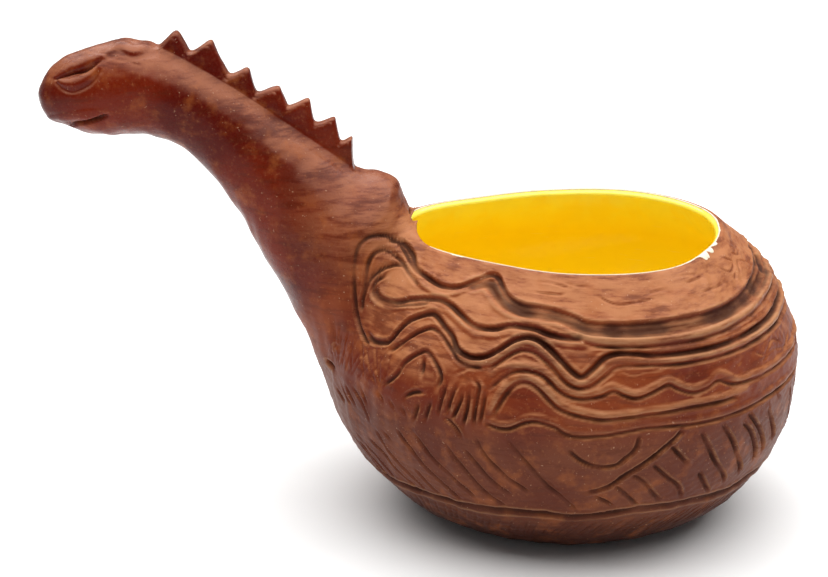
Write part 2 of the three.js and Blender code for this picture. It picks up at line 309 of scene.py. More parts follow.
def lip_wander(turn):
    """The mouth's wander, at angles in radians anticlockwise from +X."""
    count = len(LIP_WANDER)
    u = (turn / (2 * math.pi) % 1) * count
    i = np.floor(u).astype(int)
    around = (LIP_WANDER[(i + k) % count] for k in (-1, 0, 1, 2))
    return curve_run(*around, u - i)


def hand_built(turn, radius, height):
    """Places of a turned shape, moved to where the potter's hands left them."""
    grow = 1 + ease(height, BELLY_HEIGHT, RIM_HEIGHT) * lip_wander(turn) / MOUTH_RADIUS
    shift = BELLY_SHIFT * ease(height, 0, BELLY_HEIGHT)
    return np.column_stack([radius * np.cos(turn) * grow + shift,
                            radius * np.sin(turn) * grow, height])


def as_turned(places):
    """The reverse: angle, radius and height of each place in the turned shape."""
    x = places[:, 0] - BELLY_SHIFT * ease(places[:, 2], 0, BELLY_HEIGHT)
    turn = np.arctan2(places[:, 1], x)
    grow = 1 + ease(places[:, 2], BELLY_HEIGHT, RIM_HEIGHT) * lip_wander(turn) / MOUTH_RADIUS
    return turn, np.hypot(x, places[:, 1]) / grow, places[:, 2]


def on_bowl(round_degrees, height):
    """Where the bowl's skin is, by degrees round from the front towards +X, and height."""
    turn = np.radians(np.asarray(round_degrees, float) - 90)
    height = np.asarray(height, float)
    return hand_built(turn, np.interp(height, OUTER[:, 1], OUTER[:, 0]), height)


FILLED = np.vstack([OUTER[::4], OUTER[-1:], on_lip(np.array([68.0, 90.0])), [(0, RIM_HEIGHT)]])


def gap_to_bowl(places):
    """How far each place is outside the filled bowl, and which way is out."""
    turn, radius, height = as_turned(places)
    q = np.column_stack([radius, height])
    best = np.full(len(q), 1e9)
    out = np.zeros((len(q), 2))
    face = np.zeros((len(q), 2))
    for a, b in zip(FILLED, FILLED[1:]):
        way = b - a
        share = np.clip((q - a) @ way / (way @ way), 0, 1)
        off = q - a - share[:, None] * way
        far = np.hypot(off[:, 0], off[:, 1])
        nearer = far < best
        best[nearer] = far[nearer]
        out[nearer] = off[nearer]
        face[nearer] = np.array([way[1], -way[0]]) / np.hypot(*way)
    edge = np.interp(height, OUTER[:, 1], OUTER[:, 0])
    side = np.where((height > 0) & (height < RIM_HEIGHT) & (radius < edge), -1.0, 1.0)
    out = np.where((best > CLOSE_TO_BOWL)[:, None],
                   out * (side / np.maximum(best, CLOSE_TO_BOWL))[:, None], face)
    normal = np.column_stack([out[:, 0] * np.cos(turn), out[:, 0] * np.sin(turn), out[:, 1]])
    return best * side, normal


def gap_to_skin(tree, places):
    """The same for the creature's own skin."""
    gap = np.zeros(len(places))
    out = np.zeros((len(places), 3))
    for i, place in enumerate(places):
        near, normal, _, far = tree.find_nearest(place)
        off = Vector(place) - near
        side = 1.0 if off.dot(normal) >= 0 else -1.0
        gap[i] = far * side
        out[i] = off * (side / far) if far > CLOSE_TO_SKIN else normal
    return gap, out


def lute_reach(height):
    return LUTE_LOW + (LUTE_HIGH - LUTE_LOW) * ease(height, *LUTE_BETWEEN)


def luted(places, tree, of_bowl):
    """The places brought to the smoothed union of bowl and creature, which way it faces there,
    and which places the other piece covers."""
    moved = places.copy()
    facing = np.zeros_like(places)
    covered = np.zeros(len(places), bool)
    bowl, _ = gap_to_bowl(places)
    deepest = -1.0 if of_bowl else -6.0  # the bowl's own inside wall isn't luted
    near = np.flatnonzero((places[:, 0] < LUTE_X) & (np.abs(places[:, 1]) < LUTE_Y)
                          & (bowl < LUTE_HIGH) & (bowl > deepest))
    first_skin, _ = gap_to_skin(tree, places[near])
    if of_bowl:
        covered[near[first_skin < -BURIED]] = True
    close = (first_skin < LUTE_HIGH) & (first_skin > -LUTE_DEEPEST)
    near, first_skin = near[close], first_skin[close]
    p = places[near].copy()
    for _ in range(LUTE_STEPS):
        gap_bowl, bowl_out = gap_to_bowl(p)
        gap_skin, skin_out = gap_to_skin(tree, p)
        reach = lute_reach(p[:, 2])
        share = np.clip(0.5 + 0.5 * (gap_skin - gap_bowl) / reach, 0, 1)
        gap = gap_skin * (1 - share) + gap_bowl * share - reach * share * (1 - share)
        out = skin_out * (1 - share)[:, None] + bowl_out * share[:, None]
        steep = np.maximum((out * out).sum(1), 0.25)
        p -= out * np.clip(gap / steep, -LONGEST_PULL, LONGEST_PULL)[:, None]
    beyond = gap_bowl - gap_skin if of_bowl else gap_skin - gap_bowl
    inside = ease(-first_skin if of_bowl else -bowl[near], *LUTE_FADE)
    facing[near] = unit(out) * (1 - inside)[:, None]
    moved[near] = p * (1 - inside)[:, None] + places[near] * inside[:, None]
    covered[near] |= (beyond > 0.5) | (inside > 0.05)
    return moved, facing, covered


def kept_off_mouth(places):
    """No clay leans into the open mouth: what would is pressed back to its edge."""
    turn, radius, height = as_turned(places)
    edge = MOUTH_RADIUS - 1.5
    soft = 1.6
    from_height = RIM_HEIGHT - 3
    gone = np.maximum(radius, edge) + np.maximum(soft - np.abs(radius - edge), 0)**2 / (4 * soft)
    high = ease(height, from_height, RIM_HEIGHT - 1)
    radius = np.where(height > from_height, radius + (gone - radius) * high, radius)
    return hand_built(turn, radius, height)


# ---- The creature's skin ----
CREST_ACROSS = np.array([0, 0.5, 1.0, 1.35, 1.6, 1.8, 2.0, 2.15, 2.3, 2.45, 2.58, 2.7, 2.82, 2.94,
                         3.06, 3.18, 3.3, 3.42, 3.54, 3.7, 3.95, 4.3, 4.8, 5.5, 6.4])
SIDE_STEPS = 82
RING_STEP, ROOT_STEP = 0.38, 1.0  # between rings of the skin, and of the root in the bowl
LEAST_ROUND = 6.6  # half width below which the crest's columns close up
HALF_RING = len(CREST_ACROSS) - 1 + SIDE_STEPS


def creature_rows():
    """Stations of the rings, close together where there is detail."""
    line = curve_through(STATIONS, 200)
    middle = (line[:, 0:2] + line[:, 2:4]) / 2
    at = np.linspace(0, len(STATIONS) - 1, len(middle))
    top_step = np.linalg.norm(np.diff(line[:, 0:2], axis=0), axis=1)
    mid_step = np.linalg.norm(np.diff(middle, axis=0), axis=1)
    pace = np.maximum(top_step, mid_step)
    spacing = np.where(at[1:] < NECK_END, RING_STEP, ROOT_STEP)
    count = np.concatenate([[0], np.cumsum(pace / spacing)])
    rows = np.interp(np.arange(0.0, count[-1]), count, at)
    return rows[rows > 0.02]


def crest_height(back, run):
    """The crest's height above each place of the back's line."""
    def on_back(points):
        far = np.linalg.norm(np.asarray(points)[:, None] - back[None], axis=2)
        return run[far.argmin(1)], far.min(1)

    low_at, low = on_back(CREST_VALLEYS)
    tip_at, tall = on_back(CREST_TIPS)
    low[0] = low[-1] = CREST_ENDS
    fine = np.arange(0.0, run[-1], CREST_FINE)
    height = np.interp(fine, low_at, low, left=0, right=0)
    for start, tip, end, top in zip(low_at, tip_at, low_at[1:], tall):
        up = np.clip((fine - start) / (tip - start), 0, 1)
        down = np.clip((end - fine) / (end - tip), 0, 1)
        between = (fine > start) & (fine < end)
        lifted = top + CREST_LOST - np.interp(tip, low_at, low)
        height += between * lifted * np.minimum(up, down)**CREST_HOLLOW
    blunt = np.hanning(CREST_BLUNT)
    height = np.convolve(height, blunt / blunt.sum(), mode="same")
    return np.interp(run, fine, height)


def creature_skin():
    """The whole creature from snout to root as one closed skin, with each place's station and
    how far the crest lifts it."""
    rows = creature_rows()
    profile = [(0, 0)] + [(1, i + 1) for i in range(len(rows))] + [(0, len(rows) + 1)]
    mesh = turned("creature", profile, 2 * HALF_RING)
    raw = mesh_places(mesh)
    turn, radius = polar(raw)
    row = np.clip(np.round(raw[:, 2]).astype(int) - 1, 0, len(rows) - 1)
    pole = radius < 0.5
    column = np.round(turn / math.pi * HALF_RING).astype(int)

    line = curve_through(STATIONS, 200)
    at = np.linspace(0, len(STATIONS) - 1, len(line))
    shape = np.column_stack([np.interp(rows, at, line[:, i]) for i in range(5)])
    top, under, wide = shape[:, 0:2], shape[:, 2:4], shape[:, 4]
    centre, up = (top + under) / 2, (top - under) / 2
    out = -out_of(top)
    rise = crest_height(top, lengths_along(top))

    steps = np.abs(column)
    last = len(CREST_ACROSS) - 1
    width = wide[row]
    round_width = np.maximum(width, LEAST_ROUND)
    edge = np.arcsin(np.clip(CREST_ACROSS[-1] / round_width, 0, 1))
    crest_angle = np.arcsin(np.clip(CREST_ACROSS[np.minimum(steps, last)] / round_width, 0, 1))
    side_angle = edge + (math.pi - edge) * np.clip((steps - last) / SIDE_STEPS, 0, 1)
    angle = np.where(steps <= last, crest_angle, side_angle)
    sideways = -np.sign(column) * width * np.sin(angle)
    upward = np.cos(angle)
    tall = rise[row]
    y = np.abs(sideways)
    wedge = np.maximum(CREST_HALF - y, 0) / CREST_TAPER
    flat_half = CREST_HALF - CREST_TAPER * tall - CREST_ROUND
    over = np.clip((y - flat_half) / CREST_ROUND, 0, 1)
    fin = np.minimum(tall - CREST_ROUND * (1 - np.sqrt(1 - over**2)) * ease(tall, 0, 2), wedge)
    fillet = np.clip(1 - (y - CREST_HALF + 0.6) / CREST_FILLET, 0, 1)**2 * 1.5
    fillet *= np.clip(tall / 2.5, 0, 1)
    lift = np.where(upward > 0, np.maximum(np.maximum(fin, 0), np.minimum(fillet, tall)), 0)
    flat = centre[row] + up[row] * upward[:, None] + out[row] * lift[:, None]
    places = np.column_stack([flat[:, 0], sideways, flat[:, 1]])
    for pole_row in (0, len(rows) - 1):
        chosen = pole & (row == pole_row)
        places[chosen] = (centre[pole_row, 0], 0, centre[pole_row, 1])
    set_places(mesh, places)
    return mesh, rows[row], lift


NAPE_PALE_PATCH = np.array([-62.0, -18.0, 94.0])  # middle of a patch on the nape's near side that is painted paler
NAPE_REACH = np.array([16.0, 22.0, 15.0])


# ---- The carved pattern ----
# A cut is a line of (degrees round the bowl from the front, height) with a half width and a depth.
# A bead is the same, raised.
COLLAR_EDGE = [
    (-88, 82), (-77, 83.8), (-67, 82.6), (-59.5, 80.2), (-51, 79), (-44, 78.2), (-38, 78.9),
    (-34, 80.6), (-30, 82.6), (-26.5, 82.6), (-23, 80.6), (-20.3, 79), (-15.7, 77.8), (-7.6, 77.5),
    (-0.6, 76.2), (2.5, 75.2), (10, 74.6), (30, 74.7), (50, 74.6), (62, 75.2), (78, 76.4), (96, 77),
]
LEDGE_TOP = [
    (-37, 77.3), (-30, 80), (-24.5, 77.2), (-19.3, 75.7), (-10, 75.1), (-3.7, 75.4), (0, 73.4),
    (7, 72.4), (20, 72), (40, 72.5), (60, 72.7), (80, 73.2), (96, 73.4),
]
LEDGE = [
    (-2, 72.9), (4, 71.7), (12, 71), (25, 70.9), (40, 71.2), (55, 71.5), (70, 72.1), (88, 72.4), (100, 72),
]
UNDER_LEDGE = [(3, 70), (15, 69.5), (30, 69.6), (42, 70), (55, 70.4), (75, 71), (95, 71)]
WAVE_C = [
    (-70, 73.7), (-65, 71.9), (-61, 71.6), (-56, 72.1), (-50, 74.2), (-43, 75.3), (-38, 74.8),
    (-33.4, 73.4), (-28, 71.5), (-25, 71.4), (-21.5, 71.9), (-18, 72.8), (-12, 73.2), (-7.2, 72.3),
    (-2.8, 71.6), (2.2, 71.7),
]
WAVE_D = [
    (-60, 63), (-56, 62.1), (-51, 63.3), (-49.5, 66.8), (-47.5, 70), (-43.2, 72), (-40.6, 72),
    (-36, 69.9), (-33, 68.4), (-30.2, 65.7), (-26, 64.5), (-22.4, 65.2), (-19.4, 67.1), (-16, 69.6),
    (-12.6, 70.9), (-9.4, 70.5), (-6.6, 68.8), (-3.6, 66), (-1, 63.4), (1, 62.4), (3.4, 64.4),
    (6, 67), (9, 68.1), (13, 67.9), (20, 67.1), (35, 66.9), (60, 67.2), (80, 68), (98, 68.5),
]
ARCH_D = [
    (-49.6, 60.7), (-47, 63.7), (-44.2, 67), (-41, 69), (-38.8, 69), (-36.2, 68.2), (-31.5, 65.3),
    (-29, 63.4), (-25.5, 62.4), (-22, 62.8),
]
BEAD_D = [
    (-31.5, 66.1), (-28, 63.6), (-23.3, 63.5), (-20, 64.9), (-16.3, 68), (-13, 69.7), (-10, 69.6),
    (-7.4, 68), (-4.9, 65.9), (-2.3, 62.7), (0.2, 61), (2.7, 61.8), (5.2, 64), (7.8, 66.2),
    (11, 67), (18, 65.9), (35, 65.8), (60, 66), (80, 66.8), (96, 67),
]
UNDER_BEAD_D = [
    (-21, 62.3), (-19, 64), (-16.5, 66.2), (-13.5, 67.8), (-10.4, 67.6), (-7.8, 66), (-5.4, 63.9),
    (-2.6, 60.7), (0.2, 59.4), (3, 60), (6, 62.4), (9, 64.7), (14, 65), (25, 64.3), (45, 64.3),
    (62, 64.6), (80, 65.2), (96, 65.4),
]
BEAD_E = [
    (-21, 59.8), (-19.4, 61.8), (-16.6, 63.8), (-12.7, 64.6), (-8.6, 64.1), (-5.9, 62.5),
    (-3.9, 60.4), (-1.5, 58.9), (1.3, 58.2), (4.7, 58.9), (7.4, 60.2), (9.9, 59.1), (12.4, 58),
    (15.3, 58.6), (18.4, 60.2), (20.5, 61), (23, 59.4), (26.6, 57.6), (30.6, 58.5), (33.4, 60.2),
    (36, 59.3), (40, 56.8), (46, 56.6), (56, 56.4), (68, 57), (84, 58), (98, 58),
]
UNDER_BEAD_E = [
    (-20, 57.6), (-18, 60), (-15.4, 62.2), (-12.4, 63.1), (-8.8, 62.6), (-6.4, 61), (-4, 58.4),
    (-1.4, 57), (1.6, 56.6), (5.4, 57.4), (8, 58.6), (10.4, 57.2), (13.4, 56.4), (16.6, 57.4),
    (20.4, 59.2), (23, 57.6), (26.8, 55.9), (30.4, 56.4), (34, 57.8), (38, 55.8), (44, 55),
    (56, 54.8), (70, 55.4), (86, 56.2), (98, 56.4),
]
BEAD_POOL = [
    (-20, 50.5), (-18.8, 54.2), (-17.2, 57.9), (-14.5, 61), (-11.3, 61.7), (-8.4, 60.4), (-6, 58),
    (-3.6, 55.5), (0, 53.9), (5.5, 52.4), (11.5, 52.6), (20, 53.2), (30, 53.5), (44, 53.2),
]
POOL_EDGE = [
    (-18.4, 50.6), (-17.2, 54.2), (-15.4, 57.8), (-13.4, 59.8), (-11, 60.1), (-8.6, 58.6), (-6.4, 56.2),
    (-4, 53.8), (0, 52.1), (6, 50.9), (14, 51.4), (26, 51.9), (40, 51.7),
]
LINE_E = [
    (-20.3, 49.2), (-19, 47.9), (-15.2, 47.4), (-12, 49.2), (-9, 50), (-5, 48.8), (-2.2, 46.8),
    (0.3, 46.1), (6, 46.3), (14, 47.4), (20, 47.4), (27, 46.8), (40, 47.1), (54, 47.9), (70, 48.6),
    (86, 49), (98, 49),
]
MAIN_CUTS = [
    (WAVE_C, 1.0, 1.25), (WAVE_D, 1.0, 1.35), (ARCH_D, 0.8, 1.0), (UNDER_LEDGE, 0.75, 0.75),
    (UNDER_BEAD_D, 0.75, 0.85), (UNDER_BEAD_E, 0.75, 0.8), (POOL_EDGE, 0.85, 0.9), (LINE_E, 0.75, 0.9),
]
MAIN_BEADS = [
    (LEDGE, 1.7, 0.85), (BEAD_D, 1.1, 0.75), (BEAD_E, 1.0, 0.7), (BEAD_POOL, 1.1, 0.8),
    ([(p[0] + 0.4, p[1] - 1.7) for p in WAVE_C], 0.9, 0.45),
    ([(p[0], p[1] - 1.8) for p in COLLAR_EDGE[2:13]], 0.9, 0.6),
    ([(p[0], p[1] + 1.7) for p in LINE_E], 0.9, 0.4),
]
SCROLLS = [
    [(-47.9, 52.4), (-44.5, 56), (-43.2, 59.9), (-40.5, 62.9), (-38.4, 63.7), (-35.4, 61.9),
     (-32.6, 58.8), (-32.8, 54.7)],
    [(-41.3, 50.4), (-40.2, 52), (-38.2, 53.3), (-35.7, 53.7)],
    [(-38.8, 62.5), (-38, 60), (-37.5, 57)],
    [(-2.2, 42.9), (0, 40), (2.9, 37.9), (5.7, 37.1), (8.8, 37.2), (10.8, 39.2), (13.1, 41.8),
     (14.1, 46.2)],
]
# Loops that run up on to the neck's foot, as (x, z) on an upright plane in front of it.
LOOP_PLANE = -30.0
LOOPS = [
    [(-58.2, 58.7), (-60.1, 60), (-61.7, 65), (-62.8, 71), (-63.2, 77), (-62.9, 83), (-61.7, 87.9),
     (-58.9, 90.6), (-55.2, 91.2), (-51.4, 90.1), (-48.8, 87.1), (-47.1, 83.5), (-44.6, 79.6)],
    [(-60.3, 73.5), (-59.7, 79), (-59, 83), (-57.4, 85.7), (-54.7, 86.9), (-51.9, 85.7), (-49.5, 83.5),
     (-47.1, 79.5), (-44.3, 75.8)],
    [(-60.9, 68), (-60.5, 73), (-58.6, 78), (-55.2, 81.2), (-51.4, 82.5), (-48.3, 81.8)],
    [(-53.6, 79.5), (-56.5, 78), (-57.7, 75), (-56.2, 72), (-51.9, 70.2), (-46.2, 70.5), (-40.9, 71.4)],
]
SPINE_LINE = [
    (24.8, 46.1), (21.8, 42.9), (17.9, 39.3), (14.4, 36.4), (11.2, 33.8), (8.1, 31), (4.7, 29.1),
    (1.8, 28.6),
]
RIBS = [
    [(3.7, 27.3), (6.1, 25.4), (9.2, 22.9)],
    [(8.4, 30.9), (11.8, 27), (14.7, 23.2), (16.2, 22)],
    [(12.3, 33.7), (15.1, 31.8), (18, 27.3), (21, 23.1)],
    [(17.2, 36.6), (21.3, 31.8), (24.9, 28), (27, 22.9)],
    [(21.3, 41.8), (22.9, 39.7), (25, 36.8), (27, 34.3)],
    [(30.4, 30.8), (32, 28.3), (33.8, 25.4), (36.5, 22)],
    [(28.9, 44.5), (31.4, 39.6), (34.9, 33.2), (39.5, 27), (41.3, 23.6)],
    [(34.8, 45.3), (38.8, 39.2), (41.6, 34), (45.2, 28.2), (47.3, 24.2)],
    [(41.7, 43.5), (44.8, 40.3), (48.7, 34.5), (52.8, 26.5)],
    [(43.4, 46), (47.6, 41), (51.8, 35.4), (56, 28)],
    [(52, 44.2), (56, 38), (59.5, 31)],
]
BASE_LINE = [
    (-96, 21), (-70, 20.5), (-45, 19), (-30, 18.9), (-12, 19.8), (0, 18.6), (8, 19.9), (16, 20.9),
    (30, 20.2), (46, 19.2), (62, 20), (80, 21), (98, 21),
]
DIAGONALS = [
    [(-15.4, 45), (-12.2, 39.5), (-7.1, 31), (-3.7, 26.8), (0.2, 21)],
    [(-22.6, 44.5), (-20.1, 38), (-16, 32.2), (-10.9, 27.4)],
    [(-25.6, 40.5), (-22.9, 35.8), (-19.7, 30.1), (-15.4, 25.6)],
    [(-30.1, 40.6), (-26.9, 34.5), (-22.6, 26.4), (-17.4, 21)],
    [(-38.9, 42), (-35, 35.8), (-30.2, 29.8), (-25.2, 22.8)],
    [(-43.6, 41), (-40, 35.1), (-34.9, 28), (-29.8, 20.8)],
    [(-48.9, 38.5), (-46.3, 35.8)],
    [(-41, 28.6), (-39, 24.6), (-36.3, 20.3)],
    [(-51.6, 37.8), (-48.6, 31.5), (-43.7, 25.2), (-41.2, 20.6)],
    [(-56, 33.2), (-51.9, 29.9), (-48.6, 25.4), (-44.3, 20)],
    [(-60.2, 30.2), (-55.5, 26.9), (-52, 20.8)],
    [(-63, 29.5), (-58.5, 24.5), (-54, 19.4)],
    [(-67, 31), (-62, 25.5), (-58, 20.5)],
]
FAINT_DIAGONALS = [
    [(-10.2, 37), (-4.2, 29)], [(-9, 43.5), (-6.5, 40.5)], [(-4.3, 34.8), (-1, 30.5)],
    [(-13.6, 44.4), (-10.8, 39.6)], [(-62.5, 33), (-60, 29.6)], [(-32, 18.8), (-27.5, 18.3)],
    [(3.6, 42.6), (6.6, 41.7)],
]
WEDGES = [
    [(-69.5, 44), (-64.5, 40.7)], [(-66.2, 46.5), (-61, 41.7)], [(-63.3, 47.6), (-58.7, 42)],
    [(-60, 48), (-55.6, 44.3), (-53.4, 38.9)], [(-56.2, 49), (-53.5, 44.4)],
    [(-49.6, 50.6), (-46.9, 47.3)], [(-45.8, 49.8), (-43, 46)], [(-42, 48.6), (-40, 45.2)],
]
TANGLE = [
    [(-24.5, 59.6), (-22.5, 58), (-22.6, 54.5), (-22.9, 47.2)],
    [(-28.8, 60), (-26, 61.8), (-24.9, 61.3)],
    [(-27.6, 58), (-28.6, 54.9), (-29.5, 49.2)],
    [(-26.5, 56.5), (-26.5, 53.3), (-28.3, 47.5)],
    [(-25, 57.6), (-24.6, 52), (-25.6, 46.4)],
    [(-30.6, 57.4), (-31.2, 53), (-31.8, 48)],
    [(-33.8, 52.4), (-34.6, 48.6), (-35.4, 45.4)],
    [(-37, 51), (-37.6, 47.4), (-38.4, 44.4)],
    [(-20.8, 56.8), (-21, 52.4), (-21.6, 47.6)],
    [(-30.4, 48.6), (-27.6, 46.4), (-25.4, 43)],
]
COLLAR_SCRATCHES = [
    [(-17.5, 83.7), (-11, 84.3), (-4.6, 84.2)], [(-12, 83.1), (-7.6, 83), (-0.8, 82.3)],
    [(-4.5, 83.8), (0, 82.9), (4.7, 82.7)], [(-12.8, 80.8), (-5, 80.8), (-1.9, 81.4)],
    [(6, 81), (11, 79.1), (16.7, 79.4), (23, 80)], [(20, 80.9), (25, 81.5), (27.5, 81.4)],
    [(34, 81.7), (44, 81.9)], [(37.5, 79.2), (47, 78.8), (52, 78.9)],
    [(22, 83.6), (29.5, 83.7), (43, 82.6)], [(55, 82), (60, 79.5), (66, 80.6), (62, 82.6)],
    [(64, 78), (70, 80), (77, 78.4), (84, 80)], [(70, 82), (76, 80.6), (84, 82)],
    [(58, 77.6), (63, 79)], [(26, 62.8), (27.5, 61.4), (29, 62.4)], [(40, 61.8), (41, 60.6), (42.6, 61.4)],
    [(4.4, 61.2), (7.7, 63.1), (10.2, 63.8), (12.5, 62.8), (15.9, 63.5), (20.5, 63.7)],
    [(48, 62), (52, 60), (57, 62.4), (62, 60.4)], [(50, 58.6), (56, 60), (64, 58.4), (70, 60.4)],
    [(52, 47), (53.5, 43), (56, 40)], [(55, 50), (57, 46.4), (60, 44)],
]


def wave_line(level, swing, first, last, period, lag):
    """A hand-drawn wave round the side and back of the bowl, beyond the front's own lines."""
    at = np.arange(first, last + 1, 7.0)
    calm = ease(at, first, first + 14) * (1 - ease(at, last - 14, last))
    height = level + swing * calm * np.sin(2 * math.pi * at / period + lag)
    return [(a, h) for a, h in zip(at, height)]


BACK_FROM, BACK_TO = 94, 292
BACK_WAVES = [
    (77, 1.0, 62, 0.3, 1.5, 1.8), (70.8, 1.2, 54, 1.4, 0.9, 1.2), (66.5, 1.9, 47, 0.2, 0.9, 1.2),
    (61.5, 2.3, 41, 0.9, 0.8, 1.1), (56.2, 2.0, 38, 2.1, 0.8, 1.0), (49, 1.1, 52, 0.0, 0.8, 1.1),
]


def pattern():
    """Every cut and bead, as (line, half width, depth or height)."""
    cuts = [(line, w, d) for line, w, d in MAIN_CUTS]
    middle = [(a, (np.interp(a, *zip(*COLLAR_EDGE)) + np.interp(a, *zip(*LEDGE_TOP))) / 2)
              for a in range(-36, 97, 4)]
    cuts += [(middle, 2.1, 1.25), (COLLAR_EDGE, 0.95, 1.2), (LEDGE_TOP[4:], 0.8, 0.9)]
    cuts += [(line, 0.8, 1.05) for line in SCROLLS]
    cuts += [(SPINE_LINE, 0.9, 1.15), (BASE_LINE, 1.5, 1.3)]
    cuts += [(line, 0.75, 0.95) for line in RIBS]
    cuts += [(line, 0.65, 0.75) for line in DIAGONALS]
    cuts += [(line, 0.5, 0.28) for line in FAINT_DIAGONALS]
    cuts += [(line, 0.6, 0.6) for line in WEDGES]
    cuts += [(line, 0.7, 0.95) for line in TANGLE]
    cuts += [(line, 0.45, 0.42) for line in COLLAR_SCRATCHES]
    beads = list(MAIN_BEADS)
    beads += [([(a + 1.0, h - 0.2) for a, h in line], 0.6, 0.35) for line in RIBS[2:] + TANGLE]
    for level, swing, period, lag, width, depth in BACK_WAVES:
        line = wave_line(level, swing, BACK_FROM, BACK_TO, period, lag)
        cuts.append((line, width, depth))
        beads.append(([(a, h - width - 0.8) for a, h in line], 1.0, 0.6))
    cuts.append((wave_line(20.5, 0.7, BACK_FROM, BACK_TO - 30, 80, 0), 1.4, 1.2))
    for a in np.arange(66.0, 262.0, 6.2):
        lean = 4.5 + 1.5 * math.sin(0.9 * a)
        cuts.append(([(a, 45.5), (a + 0.4 * lean, 38.5), (a + 1.3 * lean, 31), (a + 1.7 * lean, 23.5)],
                     0.7, 0.85))
    for a in np.arange(-96.0, 262.0, 2.6):
        start = a + 0.5 * math.sin(3 * a)
        slope = 5.5 if a > -10 else 3.5
        cuts.append(([(start, 9.6 + 0.8 * math.sin(5 * a)), (start + slope, 16.8)], 0.45,
                     0.42 if a > 0 else 0.26))
    for a in np.arange(-80.0, -48.0, 3.1):
        tilt = 5 + 3 * math.sin(1.7 * a)
        cuts.append(([(a, 61 + math.sin(a)), (a + tilt, 51 + 2 * math.sin(2 * a))], 0.42, 0.36))
        cuts.append(([(a + 5, 59 + math.sin(a)), (a + 5 - 0.6 * tilt, 50.5)], 0.4, 0.3))
    return cuts, beads


DRAWN_FROM = np.array([-46.0, -564.0, 239.0])  # lines by the neck are laid on as seen from here


def laid_on(places, tree, before, behind):
    """The places moved along the line of sight to the finished skin."""
    found = places.copy()
    sight = unit(DRAWN_FROM - places)
    coming = np.arange(len(places))
    for lift in np.arange(before, -behind, -0.25):
        there = places[coming] + lift * sight[coming]
        bowl, _ = gap_to_bowl(there)
        skin, _ = gap_to_skin(tree, there)
        reach = lute_reach(there[:, 2])
        met = np.minimum(bowl, skin) < np.maximum(reach - np.abs(bowl - skin), 0)**2 / (4 * reach)
        found[coming[met]] = there[met]
        coming = coming[~met]
    return found


def drawn(lines, tree):
    """The lines' places on the finished skin."""
    flats = [curve_through(line, 5) for line, _, _ in lines]
    flat = np.vstack(flats)
    places = on_bowl(flat[:, 0], np.clip(flat[:, 1], 0.5, RIM_HEIGHT - 1))
    hidden = (np.abs(flat[:, 0] + 70) < 26) & (flat[:, 1] > 50)
    places[hidden] = laid_on(places[hidden], tree, 40.0, 0.0)
    ends = np.cumsum([len(f) for f in flats])[:-1]
    return [(place, half, size) for place, (_, half, size) in zip(np.split(places, ends), lines)]


def looped(lines, tree, half, depth):
    """The loops' places on the finished skin, as cuts."""
    made = []
    for line in lines:
        flat = curve_through(line, 5)
        places = np.column_stack([flat[:, 0], np.full(len(flat), LOOP_PLANE), flat[:, 1]])
        made.append((laid_on(places, tree, 20.0, 40.0), half, depth))
    return made


def cut_in(places, lines, burr):
    """How deep the lines press at each place: a rounded groove, with a low burr beside it."""
    deep = np.zeros(len(places))
    edge = np.zeros(len(places))
    uneven = 0.82 + 0.3 * bumps(places, 9.0, 11)
    for line, half, depth in lines:
        reach = half * 2.2
        near = np.flatnonzero(((places > line.min(0) - reach) & (places < line.max(0) + reach)).all(1))
        if not len(near):
            continue
        far, at, length = nearest_on(line, places[near])
        ends = ease(np.minimum(at, length - at), -0.6, 2.6)
        groove = np.clip(1 - (far / half)**2, 0, 1)**0.8 * depth * ends * uneven[near]
        rim = np.exp(-((far - 1.35 * half) / (0.35 * half))**2) * burr * depth * ends
        deep[near] = np.maximum(deep[near], groove)
        edge[near] = np.maximum(edge[near], rim)
    return deep, edge


SHOULDER_TOP = 76.0  # above it, the carving stops by radius, so that the lip stays plain
LIP_PLAIN = 49.6, 52.2
STANDS_PROUD = 3.0  # clay this far off the bowl belongs to the creature alone
BODY_FADE = 6.0, 16.0  # gaps from the bowl over which its clay gives way to the neck's


def carve(mesh, facing, cuts, beads):
    """Cuts the pattern into a mesh's skin, and keeps as attributes where it is cut and worn, and where a
    paler tan is painted: a painted highlight on upward-facing clay, and a paler patch on the nape.
    """
    places = mesh_places(mesh)
    normals = unit(mesh_normals(mesh) * 0.02 + facing)
    _, radius, height = as_turned(places)
    deep, edge = cut_in(places, cuts, 0.2)
    high, _ = cut_in(places, beads, 0.0)
    gap, _ = gap_to_bowl(places)
    outer = np.where(height > SHOULDER_TOP, ease(radius, *LIP_PLAIN), ease(height, 0.3, 2))
    outer = np.where(gap > STANDS_PROUD, 1, outer) * ease(gap, -3, -1.5)
    body = 1 - ease(gap, *BODY_FADE)
    lift = (high + edge) * body - deep
    lift += 0.36 * bumps(places, 24, 3) + 0.16 * bumps(places, 8, 4)
    lift += 0.075 * bumps(places, 2.8, 5) * (0.4 + 0.6 * body)
    set_places(mesh, places + normals * (lift * outer)[:, None])
    store(mesh, "cut", deep * outer)
    store(mesh, "worn", (high + 2.6 * edge) * outer * body)
    store(mesh, "bowl_clay", body)
    # Painted highlight: clay that faces upwards is marked for a paler tan, standing in for the top light's
    # sheen; the nape patch is marked paler too.
    upward = ease(unit(mesh_normals(mesh) + facing)[:, 2], 0.3, 0.72)
    off = np.linalg.norm((places - NAPE_PALE_PATCH) / NAPE_REACH, axis=1)
    store(mesh, "top_highlight_and_pale_patch", np.maximum(upward, 1.1 * np.exp(-off**2)))


